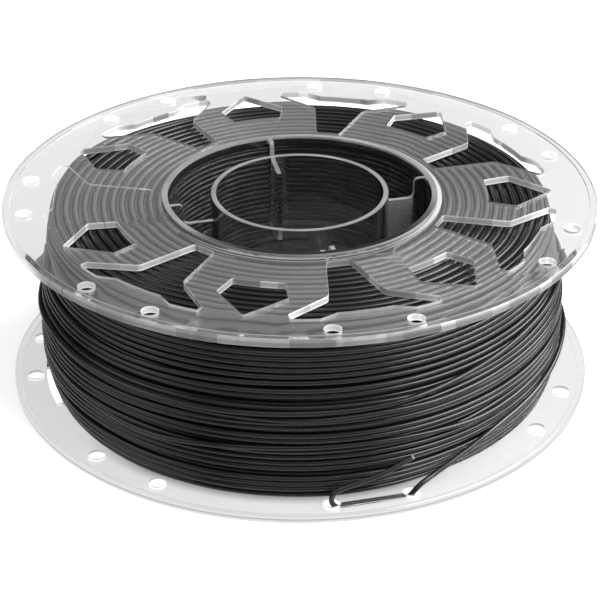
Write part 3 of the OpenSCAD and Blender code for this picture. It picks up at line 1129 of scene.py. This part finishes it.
# %% [markdown]
# ## The room
#
# A plain pale floor, an even surrounding and four soft lamps. The winding is black and glossy,
# so it is drawn by what it mirrors. Two large lamps on the right give the long highlights on
# its turns, a weak one on the left keeps that side from going flat, and a weak one above the
# camera lights the hub.
#
# Clear plastic shows whatever is behind it. Rays that have passed through it therefore see the
# same white surrounding as the camera does. What falls on the object as light is less than
# half as strong, and what its polished faces mirror is dimmer still, so that the black stays
# black and only the lamps show as highlights.

# %% Make the surroundings
room_light = 0.45
mirrored_light = 0.06

world = bpy.data.worlds.new("white_room")
bpy.context.scene.world = world
world.use_nodes = True
wiring = Wiring(world.node_tree)
straight_or_mirrored = wiring.maths(
    "MAXIMUM", wiring.ray("Is Camera Ray"), wiring.ray("Is Glossy Ray"))
seen = wiring.maths("MAXIMUM", straight_or_mirrored, wiring.ray("Is Transmission Ray"))
brightness = wiring.maths(
    "MINIMUM",
    wiring.remap(wiring.ray("Is Glossy Ray"), 1.0, mirrored_light),
    wiring.remap(seen, room_light, 1.0),
)
background = wiring.nodes["Background"].inputs
background["Color"].default_value = WHITE
wiring.feed(brightness, background["Strength"])
print(f"surroundings: light {room_light}, mirrored {mirrored_light}")

# %% [markdown]
# The floor is white paper that glows a little, so that it comes out white round the object and
# still takes the object's shadow. It glows more where it is seen through plastic and in the ring
# of the small holes, as painted light, and far off it runs over into the white of the
# surroundings. Below the hub it glows less, and least under the winding's front edge on the
# left, where little light gets in between the winding and the flange: a painted shadow, whose
# white fades out softly. Seen through plastic the paper's own colour is darker, so that the
# painted glow sets most of its tone, and mirrored in the object it is darker too, as a dimmer
# painted reflection.

# %% Lay the floor
floor_glow = 0.35
floor_glow_in_holes = 0.85
floor_glow_through = 0.85

paper, wiring, shader = new_finish("white_paper")
wiring.feed(0.9, shader["Roughness"])
wiring.feed(0.1, shader["Specular IOR Level"])
shader["Emission Color"].default_value = WHITE
at = wiring.place()
through_plastic = wiring.ray("Is Transmission Ray")

# Painted shade: the glow through plastic is held back below the hub and under the winding's front
# edge.
beside_hub = wiring.maths("GREATER_THAN", at.radius, 60 * MM)
front_left = wiring.product(
    wiring.ramp(at.y, -30 * MM, -58 * MM), wiring.ramp(at.x, 30 * MM, 8 * MM))
painted_shadow_edge = wiring.product(front_left, wiring.ramp(at.radius, 91 * MM, 85.5 * MM))
painted_shade_factor = wiring.product(
    wiring.remap(beside_hub, 0.35, 1.0), wiring.remap(painted_shadow_edge, 1.0, 0.25))
glow_through = wiring.remap(
    wiring.product(through_plastic, painted_shade_factor), 0.0, floor_glow_through)

# Painted light: a brighter ring of floor under the small holes.
painted_light_ring = wiring.near(at.radius, 92 * MM, 6 * MM)
glow_seen = wiring.product(
    wiring.ray("Is Camera Ray"), wiring.remap(painted_light_ring, floor_glow, floor_glow_in_holes))
glow_seen = wiring.maths("MAXIMUM", glow_seen, wiring.ramp(at.radius, 0.5, 1.5))
wiring.feed(wiring.maths("MAXIMUM", glow_through, glow_seen), shader["Emission Strength"])

# Seen through plastic or mirrored, the paper's own colour is darker: the painted glow sets the
# tone, and reflections are dimmer.
tone = wiring.maths(
    "MINIMUM",
    wiring.remap(through_plastic, 0.9, 0.15),
    wiring.remap(wiring.ray("Is Glossy Ray"), 0.9, 0.35),
)
wiring.feed(tone, shader["Base Color"])

deselect()
bpy.ops.mesh.primitive_plane_add(size=6, location=(0, 0, 0))
floor = bpy.context.object
floor.name = "floor"
floor.data.materials.append(paper)
print("floor:", paper.name)

# %% Hang the lamps


def soft_lamp(name, azimuth, elevation, distance, size, watts):
    """A square soft lamp that faces the spool, placed by angles in degrees."""
    a, e = math.radians(azimuth), math.radians(elevation)
    way = Vector((math.cos(e) * math.cos(a), math.cos(e) * math.sin(a), math.sin(e)))
    deselect()
    bpy.ops.object.light_add(type="AREA", location=way * distance)
    lamp = bpy.context.object
    lamp.name = name
    lamp.rotation_mode = "QUATERNION"
    lamp.rotation_quaternion = way.to_track_quat("Z", "Y")
    lamp.data.size = size
    lamp.data.energy = watts
    print(f"{name}: {size} m wide, {watts} W")


soft_lamp("right_lamp", -36, 38, 1.3, 0.95, 24)
soft_lamp("right_back_lamp", 10, 38, 1.3, 0.8, 18)
soft_lamp("left_lamp", 175, 38, 1.3, 0.9, 4.0)
soft_lamp("top_lamp", -104, 75, 1.4, 0.9, 4.0)
